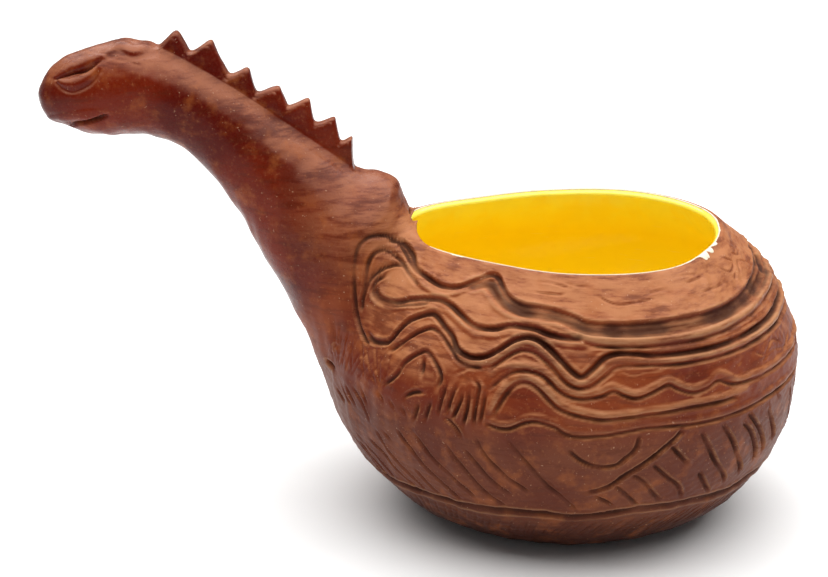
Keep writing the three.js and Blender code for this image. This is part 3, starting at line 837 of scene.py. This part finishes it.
# ---- The face, as lines of (x, z) seen from the side: line, half width, height ----
UPPER_LID = [
    (-149.6, 132.6), (-146, 135), (-143, 136.2), (-140, 137.2), (-137.4, 138), (-134.8, 138.4),
]
EYE_SLIT = [
    (-149, 131.9), (-147.2, 132.8), (-144.2, 134), (-140.5, 134.9), (-137.9, 136.3), (-135.8, 137.9),
]
LOWER_LID = [
    (-148.2, 131.5), (-146, 131.1), (-143.4, 131.4), (-140.6, 132.5), (-138.2, 134.2), (-136.6, 136),
]
LID_FOOT = [
    (-148.8, 130.8), (-146.6, 129.2), (-144, 128.6), (-141, 129.8), (-138.4, 131.5), (-135.8, 134.6),
]
TEMPLE = [
    (-134.2, 139.3), (-130.8, 141.1), (-127.2, 140), (-125, 140), (-122.4, 140.9), (-119, 141.2),
]
TEMPLE_FOOT = [(-134.8, 138), (-131, 139.3), (-127.2, 138.3), (-123.6, 138.6), (-120, 139)]
CHEEK = [(-133, 138.4), (-129.4, 137.6), (-124.6, 136.2)]
UPPER_LIP = [(-152.6, 119.8), (-148.4, 120.6), (-143.4, 121.7), (-138.6, 122.6), (-134, 123.4)]
MOUTH = [
    (-146.0, 117.6), (-145.0, 118.3), (-143, 119.2), (-139.8, 119.9), (-137, 120.7), (-134.4, 121.8),
]
FACE = [
    (UPPER_LID, 1.4, 0.85), (LOWER_LID, 1.7, 1.0), (TEMPLE, 1.3, 0.45), (UPPER_LIP, 1.7, 0.4),
    (EYE_SLIT, 0.55, -1.1), (LID_FOOT, 0.8, -0.35), (TEMPLE_FOOT, 1.0, -0.4), (CHEEK, 0.6, -0.3),
    (MOUTH, 0.8, -1.9),
]
EYE_HOLLOW = ((-142.5, 133.4), (7.5, 4.2), 0.8)  # middle, reach along x and z, depth


def sculpt_face(mesh):
    """Presses the eyes, lips and temples into the head, alike on both sides."""
    places, normals = mesh_places(mesh), mesh_normals(mesh)
    head = np.flatnonzero((places[:, 0] < -112) & (places[:, 2] > 108))
    p = places[head]
    seen = p[:, [0, 2]]
    lift = np.zeros(len(head))
    pressed = np.zeros(len(head))
    middle, reach, depth = EYE_HOLLOW
    off = (seen - middle) / reach
    lift -= depth * np.exp(-(off**2).sum(1)) * ease(np.abs(p[:, 1]), 2, 6)
    for points, half, height in FACE:
        far, at, length = nearest_on(curve_through(points, 6), seen)
        swell = 0.45 + 0.55 * np.sin(math.pi * np.clip(at / length, 0, 1))
        wide = half * swell if height > 0 else half * (0.7 + 0.3 * swell)
        shape = np.clip(1 - (far / wide)**2, 0, 1)**(0.8 if height > 0 else 0.7)
        side = 1.0 if points is MOUTH else ease(np.abs(p[:, 1]), 1.0, 3.5)
        lift += height * shape * swell * side
        if height < 0:
            pressed = np.maximum(pressed, -height * shape * swell * side)
    places[head] += normals[head] * lift[:, None]
    set_places(mesh, places)
    whole = np.zeros(len(places))
    whole[head] = pressed
    return whole


# ---- Pieces ----
DROPPED = 9  # label of faces that are covered, and so left out
BASE_TOP, BELLY_TOP = 26.0, 57.0  # heights where the bowl's skin is parted


def split(mesh, names, labels):
    """One object for each name, from the faces with that label. All keep the whole skin's
    normals, so that their meetings don't show."""
    normals = mesh_normals(mesh)
    corner = np.empty(len(mesh.loops), np.int32)
    mesh.loops.foreach_get("vertex_index", corner)
    first = np.empty(len(mesh.polygons), np.int32)
    mesh.polygons.foreach_get("loop_start", first)
    face_label = labels[corner[first]]
    kept = mesh.attributes.new("skin_normal", "FLOAT_VECTOR", "POINT")
    kept.data.foreach_set("vector", normals.astype(np.float32).ravel())
    made = []
    for number, name in enumerate(names):
        bm = bmesh.new()
        bm.from_mesh(mesh)
        bm.faces.ensure_lookup_table()
        gone = [bm.faces[i] for i in np.flatnonzero(face_label != number)]
        bmesh.ops.delete(bm, geom=gone, context="FACES")
        bmesh.ops.scale(bm, vec=(MM, MM, MM), verts=bm.verts)
        part = bpy.data.meshes.new(name)
        bm.to_mesh(part)
        bm.free()
        part.shade_smooth()
        own = np.empty(len(part.vertices) * 3, np.float32)
        part.attributes["skin_normal"].data.foreach_get("vector", own)
        part.normals_split_custom_set_from_vertices(own.reshape(-1, 3).tolist())
        part.attributes.remove(part.attributes["skin_normal"])
        made.append(show(name, part))
    bpy.data.meshes.remove(mesh)
    return made


def show(name, mesh):
    piece = bpy.data.objects.new(name, mesh)
    bpy.context.scene.collection.objects.link(piece)
    return piece


def inner_profile():
    """The clay's inside, from the floor's middle up to where the glaze stops on the lip."""
    inside = OUTER - WALL * out_of(OUTER)
    inside = inside[(inside[:, 1] > FLOOR + WALL) & (inside[:, 1] < RIM_HEIGHT - 2.2 * WALL)][::12]
    low = inside[0, 0]
    floor = [(0, FLOOR), (0.3 * low, FLOOR), (0.6 * low, FLOOR + 0.1), (0.88 * low, FLOOR + 1.6)]
    line = np.vstack([floor, inside, on_lip(np.linspace(215, GLAZE_END - 14, 6))])
    return evenly(curve_through(line, 8), 1.2)


INNER = inner_profile()


def make_bowl(tree, cuts, beads):
    """The clay bowl: a skin fine enough for the carving, over a plain wall inside."""
    skin = evenly(np.vstack([OUTER, on_lip(np.linspace(52, GLAZE_END - 14, 16))]), CLAY_STEP)
    foot = [(r, 0.0) for r in (0, 12, 24, 32, 35.5)]
    inside = INNER[::-4]
    profile = [*foot, *skin, *inside[1:-1], (0, FLOOR)]
    mesh = turned("bowl_skin", profile, BOWL_TURNS)
    raw = mesh_places(mesh)
    turn, radius = polar(raw)
    height = raw[:, 2]
    turn = turn - CLOSER_IN_FRONT * np.sin(turn + math.pi / 2)
    places = hand_built(turn, radius, height)
    moved, facing, covered = luted(places, tree, True)
    set_places(mesh, moved)
    carve(mesh, facing, cuts, beads)
    on_skin = gap_to_bowl(places)[0] > -1.5
    labels = np.where(height < BASE_TOP, 2, np.where(height < BELLY_TOP, 1, 0))
    labels = np.where(on_skin, labels, 0)
    labels = np.where((height < 1) & (radius < FOOT_RADIUS + 1), 2, labels)
    below_lip = height < RIM_HEIGHT - 4
    labels = np.where(covered & below_lip, DROPPED, labels)
    return split(mesh, ["bowl_shoulder", "bowl_belly", "bowl_base"], labels)


def make_creature(mesh, station, lift, tree, cuts, beads):
    """The head, jaw, neck, crest and nape lug, luted to the bowl."""
    pressed = sculpt_face(mesh)
    places = mesh_places(mesh)
    buried = gap_to_bowl(places)[0] < -BURIED
    moved, facing, covered = luted(places, tree, False)
    set_places(mesh, kept_off_mouth(moved))
    carve(mesh, facing, cuts, beads)
    across = np.abs(places[:, 1])
    raise_to(mesh, "cut", pressed * 0.6)
    raise_to(mesh, "worn", 0.1 * ease(lift, 2.0, 5.0) * (across < 2.9))
    jaw = (station < THROAT) & (places[:, 2] < JAW_TOP) & (places[:, 0] > JAW_FRONT)
    fin = (station > CREST_START) & (lift > 0.4) & (across < 4)
    lug = (station > LUG_START) & (station < LUG_END)
    lug &= (across < LUG_HALF) & (places[:, 2] > LUG_BOTTOM)
    labels = np.where(station < HEAD_END, 0, 2)
    for number, here in ((1, jaw), (3, fin), (4, lug)):
        labels = np.where(here, number, labels)
    labels = np.where(buried | covered, DROPPED, labels)
    return split(mesh, ["head_clay", "jaw_clay", "neck_clay", "crest_fin", "nape_lug_clay"], labels)


def make_glaze():
    """The glaze inside: a thin coat that feathers out on the lip."""
    inwards = -out_of(INNER)
    run = lengths_along(INNER)
    thick = GLAZE_EDGE + (GLAZE - GLAZE_EDGE) * ease(run[-1] - run, 0.0, GLAZE_FEATHER)
    face = INNER + inwards * thick[:, None]
    back = INNER - inwards * 0.2
    face[0, 0] = back[0, 0] = 0
    mesh = turned("glaze_coat", np.vstack([back, face[::-1]]), GLAZE_TURNS)
    raw = mesh_places(mesh)
    turn, radius = polar(raw)
    places = hand_built(turn, radius, raw[:, 2])
    run_down = 0.16 * bumps(places * (1, 1, 0.35), 26, 21) * ease(RIM_HEIGHT - raw[:, 2], 3, 12)
    places[:, :2] *= (1 + run_down / np.maximum(radius, 10))[:, None]
    set_places(mesh, places * MM)
    mesh.shade_smooth()
    return show("glaze_coat", mesh)


RIM_PATH = np.vstack([OUTER[OUTER[:, 1] > SHOULDER_TOP], on_lip(np.linspace(48, GLAZE_END, 30))])
SLIP_TURNS = 720
SLIP_INSIDE = 0.9  # how far the slip runs in from the lip's crown
SLIP_OUTSIDE = 0.35  # where its outer edge lies on average, in from the crown
SLIP_FAR_SIDE = 0.5  # and round the back
# Runs where the slip is left wider: degrees round from the front, half width, and reach out.
CHIPS = [(54.0, 3.0, 2.6), (60.5, 2.2, 1.9), (68.0, 2.6, 0.9), (-47, 3.5, 0.7)]


def make_slip():
    """The white slip over the lip: a thin skin with an uneven outer edge and chipped runs."""
    steps = 10
    over = [(steps + i / steps, 1.0) for i in range(steps + 1)]
    under = [(r, 0.0) for r, _ in over[::-1]]
    mesh = turned("slip_line", [*over, *under, over[0]], SLIP_TURNS)
    raw = mesh_places(mesh)
    turn, share = polar(raw)
    share = share - steps
    around = (np.degrees(turn) + 90 + 180) % 360 - 180
    run = lengths_along(RIM_PATH)
    crown = run[np.argmax(RIM_PATH[:, 1])]
    ring = np.column_stack([50 * np.cos(turn), 50 * np.sin(turn), 0 * turn])
    start = SLIP_OUTSIDE + 0.22 * bumps(ring, 9, 31) + 0.12 * bumps(ring, 3, 32)
    for where, wide, out in CHIPS:
        start -= out * np.exp(-((around - where) / wide)**4) * (1 + 0.25 * bumps(ring, 1.8, 33))
    near_side = 1 - ease(np.abs(around - 15), 70, 100)
    start = start * near_side + SLIP_FAR_SIDE * (1 - near_side)
    at = crown + start + (SLIP_INSIDE - start) * share
    path = at_length(RIM_PATH, run, at)
    way = unit(at_length(RIM_PATH, run, at + 0.2) - at_length(RIM_PATH, run, at - 0.2))
    out = np.column_stack([way[:, 1], -way[:, 0]])
    thin = 0.1 + 0.14 * ease(share, 0, 0.15) * (1 - 0.6 * ease(share, 0.7, 1))
    path = path + out * np.where(raw[:, 2] > 0.5, thin, -0.3)[:, None]
    set_places(mesh, hand_built(turn, path[:, 0], path[:, 1]) * MM)
    mesh.shade_smooth()
    return show("slip_line", mesh)


# ---- Materials ----
def paint(code):
    """An sRGB hex colour as linear RGBA."""
    channels = [int(code[i:i + 2], 16) / 255 for i in (1, 3, 5)]
    linear = [c / 12.92 if c <= 0.04045 else ((c + 0.055) / 1.055)**2.4 for c in channels]
    return (*linear, 1.0)


def add(tree, kind, inputs=(), **settings):
    """A node with its settings, its values and its links."""
    node = tree.nodes.new(kind)
    for name, value in settings.items():
        setattr(node, name, value)
    for name, value in dict(inputs).items():
        if isinstance(value, bpy.types.NodeSocket):
            tree.links.new(value, node.inputs[name])
        else:
            node.inputs[name].default_value = value
    return node


def new_material(name):
    material = bpy.data.materials.new(name)
    material.use_nodes = True
    material.node_tree.nodes.clear()
    return material, material.node_tree


def blend(tree, share, a, b):
    """Colour a turning to b by a share."""
    made = add(tree, "ShaderNodeMix", {0: share, 6: a, 7: b}, data_type="RGBA")
    return made.outputs[2]


def spread(tree, value, low, high, to_low=0.0, to_high=1.0):
    made = add(tree, "ShaderNodeMapRange", {"Value": value, "From Min": low, "From Max": high,
                                            "To Min": to_low, "To Max": to_high},
               interpolation_type="SMOOTHSTEP")
    return made.outputs["Result"]


def times(tree, a, b):
    return add(tree, "ShaderNodeMath", {0: a, 1: b}, operation="MULTIPLY").outputs[0]


def patches(tree, places, size_mm, detail=3.0, rough=0.5, stretch=(1, 1, 1)):
    """Noise with patches of about a size in millimetres."""
    moved = add(tree, "ShaderNodeMapping", {"Vector": places, "Scale": stretch})
    noise = add(tree, "ShaderNodeTexNoise", {"Vector": moved.outputs[0], "Scale": 1 / (size_mm * MM),
                                             "Detail": detail, "Roughness": rough})
    return noise.outputs["Fac"]


def stained_stoneware():
    """Iron-rich stoneware, carved when leather hard, rubbed with a red-brown oxide stain and
    burnished. The stain stays dark in the cuts, and worn ridges show the paler clay."""
    material, tree = new_material("stained_stoneware")
    places = add(tree, "ShaderNodeTexCoord").outputs["Object"]
    cut = add(tree, "ShaderNodeAttribute", attribute_name="cut").outputs["Fac"]
    worn = add(tree, "ShaderNodeAttribute", attribute_name="worn").outputs["Fac"]
    on_bowl_clay = add(tree, "ShaderNodeAttribute", attribute_name="bowl_clay").outputs["Fac"]
    height = add(tree, "ShaderNodeSeparateXYZ", {0: places})
    broad = patches(tree, places, 22, 2)
    cloudy = patches(tree, places, 7, 4, 0.6)
    streaky = patches(tree, places, 5, 5, 0.68, (0.35, 0.35, 2.2))
    grainy = patches(tree, places, 1.2, 4, 0.7)
    grit = patches(tree, places, 0.35, 3, 0.7)

    neck_red = blend(tree, spread(tree, broad, 0.35, 0.65), paint("#500c02"), paint("#6b1c05"))
    bowl_brown = blend(tree, spread(tree, broad, 0.35, 0.65), paint("#682510"), paint("#803818"))
    # The lower bowl's own greyer brown, made darker as painted shade low on the bowl.
    low_grey_and_shade = blend(tree, spread(tree, broad, 0.3, 0.7), paint("#5a2818"), paint("#6b3823"))
    lower = spread(tree, height.outputs["Z"], 0.056, 0.040)
    bowl = blend(tree, lower, bowl_brown, low_grey_and_shade)
    # Painted shade: the bowl darkens to a deep brown from 22 mm down to 6 mm, near the board.
    shade_near_board = spread(tree, height.outputs["Z"], 0.022, 0.006)
    bowl = blend(tree, shade_near_board, bowl, paint("#3c190e"))
    base = blend(tree, on_bowl_clay, neck_red, bowl)
    # Painted highlight: a paler tan on upward-facing clay and on the nape patch, broken up by streaks.
    top_highlight_and_pale_patch = add(tree, "ShaderNodeAttribute", attribute_name="top_highlight_and_pale_patch").outputs["Fac"]
    highlight_tan = blend(tree, on_bowl_clay, paint("#94573a"), paint("#b27349"))
    highlight_share = times(tree, top_highlight_and_pale_patch, spread(tree, streaky, 0.36, 0.6, 0.3, 0.9))
    base = blend(tree, highlight_share, base, highlight_tan)
    base = blend(tree, times(tree, spread(tree, streaky, 0.47, 0.36), 0.35), base, paint("#4a1d0c"))
    base = blend(tree, times(tree, spread(tree, cloudy, 0.5, 0.75), 0.42), base, paint("#a35a2c"))
    base = blend(tree, times(tree, spread(tree, grainy, 0.55, 0.8), 0.35), base, paint("#b8764a"))
    base = blend(tree, times(tree, spread(tree, grit, 0.58, 0.75), 0.3), base, paint("#34130a"))
    rubbed = times(tree, spread(tree, worn, 0.16, 0.95), spread(tree, streaky, 0.35, 0.62, 0.25, 1.0))
    base = blend(tree, times(tree, rubbed, 0.66), base, paint("#ac7c56"))
    specks = patches(tree, places, 0.8, 1, 0.5)
    base = blend(tree, times(tree, spread(tree, specks, 0.73, 0.78), 0.35), base, paint("#d3a887"))
    base = blend(tree, times(tree, spread(tree, cut, 0.12, 1.05), 0.84), base, paint("#301308"))

    rough = spread(tree, on_bowl_clay, 0.1, 0.9, 0.29, 0.46)
    rough = add(tree, "ShaderNodeMath", {0: rough, 1: spread(tree, grainy, 0.3, 0.7, -0.05, 0.08)},
                operation="ADD").outputs[0]
    rough = add(tree, "ShaderNodeMath", {0: rough, 1: spread(tree, cut, 0.05, 0.6, 0.0, 0.2)},
                operation="ADD").outputs[0]
    fine = add(tree, "ShaderNodeBump", {"Strength": 0.35, "Distance": 0.00012, "Height": grainy})
    finer = add(tree, "ShaderNodeBump", {"Strength": 0.3, "Distance": 0.00005, "Height": grit,
                                         "Normal": fine.outputs[0]})
    clay = add(tree, "ShaderNodeBsdfPrincipled", {"Base Color": base, "Roughness": rough, "IOR": 1.5,
                                                  "Specular IOR Level": 0.14,
                                                  "Normal": finer.outputs[0]})
    add(tree, "ShaderNodeOutputMaterial", {"Surface": clay.outputs[0]})
    return material


def yellow_glaze():
    """A thick opaque yellow glaze, fired glossy. It pools deeper in colour, and it is lighter
    where it thins towards the lip."""
    material, tree = new_material("yellow_glaze")
    places = add(tree, "ShaderNodeTexCoord").outputs["Object"]
    height = add(tree, "ShaderNodeSeparateXYZ", {0: places}).outputs["Z"]
    streaky = patches(tree, places, 12, 3, 0.6, (1, 1, 0.4))
    highlight_streaks = patches(tree, places, 2.2, 3, 0.6, (0.25, 0.25, 2.2))
    low = blend(tree, spread(tree, height, 0.084, 0.066), paint("#fffa66"), paint("#ffe31a"))
    base = blend(tree, times(tree, spread(tree, streaky, 0.45, 0.7), 0.4), low, paint("#ffe21c"))
    # Painted highlight: thin paler yellow streaks laid over the glaze.
    base = blend(tree, times(tree, spread(tree, highlight_streaks, 0.62, 0.72), 0.22), base, paint("#ffe97a"))
    glaze = add(tree, "ShaderNodeBsdfPrincipled", {"Base Color": base, "Roughness": 0.16, "IOR": 1.52})
    add(tree, "ShaderNodeOutputMaterial", {"Surface": glaze.outputs[0]})
    return material


def white_slip():
    """A thin white clay slip, fired matt, with a little grey where it is worn through."""
    material, tree = new_material("white_slip")
    places = add(tree, "ShaderNodeTexCoord").outputs["Object"]
    dirty = patches(tree, places, 2.5, 4, 0.6)
    base = blend(tree, times(tree, spread(tree, dirty, 0.5, 0.75), 0.5), paint("#eaddc4"), paint("#a98a70"))
    slip = add(tree, "ShaderNodeBsdfPrincipled", {"Base Color": base, "Roughness": 0.5, "IOR": 1.5})
    add(tree, "ShaderNodeOutputMaterial", {"Surface": slip.outputs[0]})
    return material


def pale_board():
    """The board under the mug: matt white card."""
    material, tree = new_material("pale_board")
    places = add(tree, "ShaderNodeTexCoord").outputs["Object"]
    soft = patches(tree, places, 60, 2)
    base = blend(tree, spread(tree, soft, 0.3, 0.7), paint("#f4f4f3"), paint("#f8f8f7"))
    card = add(tree, "ShaderNodeBsdfPrincipled", {"Base Color": base, "Roughness": 0.9})
    add(tree, "ShaderNodeOutputMaterial", {"Surface": card.outputs[0]})
    return material


# ---- Making the mug ----
creature, creature_station, crest_lift = creature_skin()
skin_places = mesh_places(creature)
skin_tree = BVHTree.FromPolygons([tuple(p) for p in skin_places],
                                 [tuple(f.vertices) for f in creature.polygons])
all_cuts, all_beads = pattern()
cut_lines = drawn(all_cuts, skin_tree) + looped(LOOPS, skin_tree, 0.85, 1.0)
bead_lines = drawn(all_beads, skin_tree)

clay_pieces = make_bowl(skin_tree, cut_lines, bead_lines)
clay_pieces += make_creature(creature, creature_station, crest_lift, skin_tree, cut_lines, bead_lines)
glaze_coat = make_glaze()
slip_line = make_slip()

STANDS_FOR = {
    "bowl_belly": ["bowl"],
    "head_clay": ["head", "eyelid_upper_left", "eyelid_upper_right", "eyelid_lower_left",
                  "eyelid_lower_right"],
    "jaw_clay": ["lower_jaw"],
    "neck_clay": ["neck"],
    "crest_fin": ["crest_strip"] + [f"crest_spine_{i + 1}" for i in range(len(CREST_TIPS))],
    "nape_lug_clay": ["nape_lug"],
    "glaze_coat": ["glaze_lining"],
    "slip_line": ["lip_slip"],
}


def finish_piece(piece, material):
    piece.data.materials.append(material)
    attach(piece, "root")
    if piece.name in STANDS_FOR:
        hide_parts(*STANDS_FOR[piece.name])


stoneware = stained_stoneware()
for clay_piece in clay_pieces:
    finish_piece(clay_piece, stoneware)
finish_piece(glaze_coat, yellow_glaze())
finish_piece(slip_line, white_slip())


# ---- Board, light and camera ----
def board():
    """A wide pale board that the mug stands on."""
    bm = bmesh.new()
    bmesh.ops.create_grid(bm, x_segments=8, y_segments=8, size=2.5)
    mesh = bpy.data.meshes.new("board")
    bm.to_mesh(mesh)
    bm.free()
    floor = show("board", mesh)
    floor.data.materials.append(pale_board())


def soft_box(name, place, aim, wide, deep, power, colour="#ffffff"):
    """A rectangular soft light that faces a point."""
    lamp = bpy.data.lights.new(name, "AREA")
    lamp.shape = "RECTANGLE"
    lamp.size, lamp.size_y = wide, deep
    lamp.energy = power
    lamp.color = paint(colour)[:3]
    light = bpy.data.objects.new(name, lamp)
    light.location = place
    light.rotation_euler = (Vector(aim) - Vector(place)).to_track_quat("-Z", "Y").to_euler()
    bpy.context.scene.collection.objects.link(light)


def room_light(strength, colour):
    world = bpy.data.worlds.new("studio")
    world.use_nodes = True
    backdrop = world.node_tree.nodes["Background"]
    backdrop.inputs["Color"].default_value = paint(colour)
    backdrop.inputs["Strength"].default_value = strength
    bpy.context.scene.world = world


VIEW_CENTRE = Vector((-0.046, 0.0, 0.0663))
VIEW_DISTANCE = 0.59
VIEW_ELEVATION = math.radians(17)

board()
soft_box("overhead_soft_box", (0.0, 0.12, 1.05), (-0.04, 0.0, 0.0), 2.3, 2.1, 43)
room_light(0.2, "#f4f4f6")

camera_data = bpy.data.cameras.new("camera")
camera_data.lens = 85
camera_data.sensor_width = 36
camera_data.clip_start, camera_data.clip_end = 0.01, 20
camera = bpy.data.objects.new("camera", camera_data)
back = Vector((0, -math.cos(VIEW_ELEVATION), math.sin(VIEW_ELEVATION)))
camera.location = VIEW_CENTRE + back * VIEW_DISTANCE
camera.rotation_euler = (-back).to_track_quat("-Z", "Y").to_euler()
bpy.context.scene.collection.objects.link(camera)
bpy.context.scene.camera = camera
bpy.context.scene.view_settings.view_transform = "Standard"
